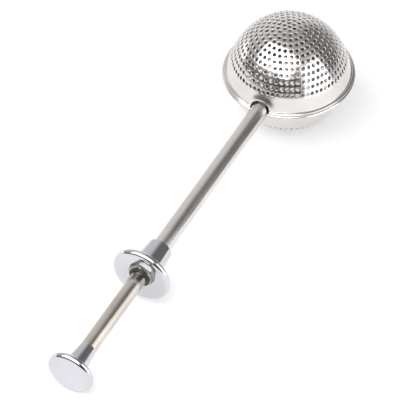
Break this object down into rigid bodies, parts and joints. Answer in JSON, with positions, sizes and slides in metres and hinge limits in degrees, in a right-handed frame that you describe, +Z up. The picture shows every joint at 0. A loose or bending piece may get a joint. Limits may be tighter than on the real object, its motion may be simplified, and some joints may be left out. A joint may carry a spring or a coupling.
{
  "type": "tea infuser",
  "caption": "Push-type tea infuser: a perforated ball whose upper half slides forward when the thumb knob is pressed against the finger flange.",
  "frame": {"origin": "under the middle of the bounding box, on the table that the infuser lies on", "axes": "+X along the handle from the thumb knob to the ball, seen from above; +Z up from the table; the handle climbs 4.88 degrees towards the ball"},
  "size_m": [0.183, 0.048, 0.0432],
  "materials": {
    "ball_steel": "polished pressed sheet",
    "tube_steel": "satin drawn tube",
    "plunger_steel": "satin drawn tube, slightly warm",
    "chrome_plate": "polished chrome plate",
    "nut_steel": "plated",
    "spring_steel": "bright drawn wire",
    "bush_plastic": "black moulded plastic"
  },
  "bodies": {
    "handle": {"lower_shell": "ball_steel", "handle_tube": "tube_steel", "tube_saddle": "ball_steel", "front_bush": "bush_plastic", "finger_flange": "chrome_plate", "retaining_nut": "nut_steel", "guide_bush": "bush_plastic", "return_spring": "spring_steel"},
    "plunger": {"upper_shell": "ball_steel", "core_rod": "plunger_steel", "shell_bracket": "ball_steel", "bracket_washer": "nut_steel", "bracket_nut": "nut_steel", "plunger_plug": "plunger_steel", "plunger_tube": "plunger_steel", "knob_insert": "plunger_steel", "thumb_knob": "chrome_plate"}
  },
  "joints": [
    {"name": "plunger_slide", "type": "slide", "parent": "handle", "child": "plunger", "axis": [0.9964, 0, 0.0851], "range_m": [0, 0.033], "stiffness_N_per_m": 150, "springref_m": -0.01, "deforming": ["return_spring"]}
  ]
}
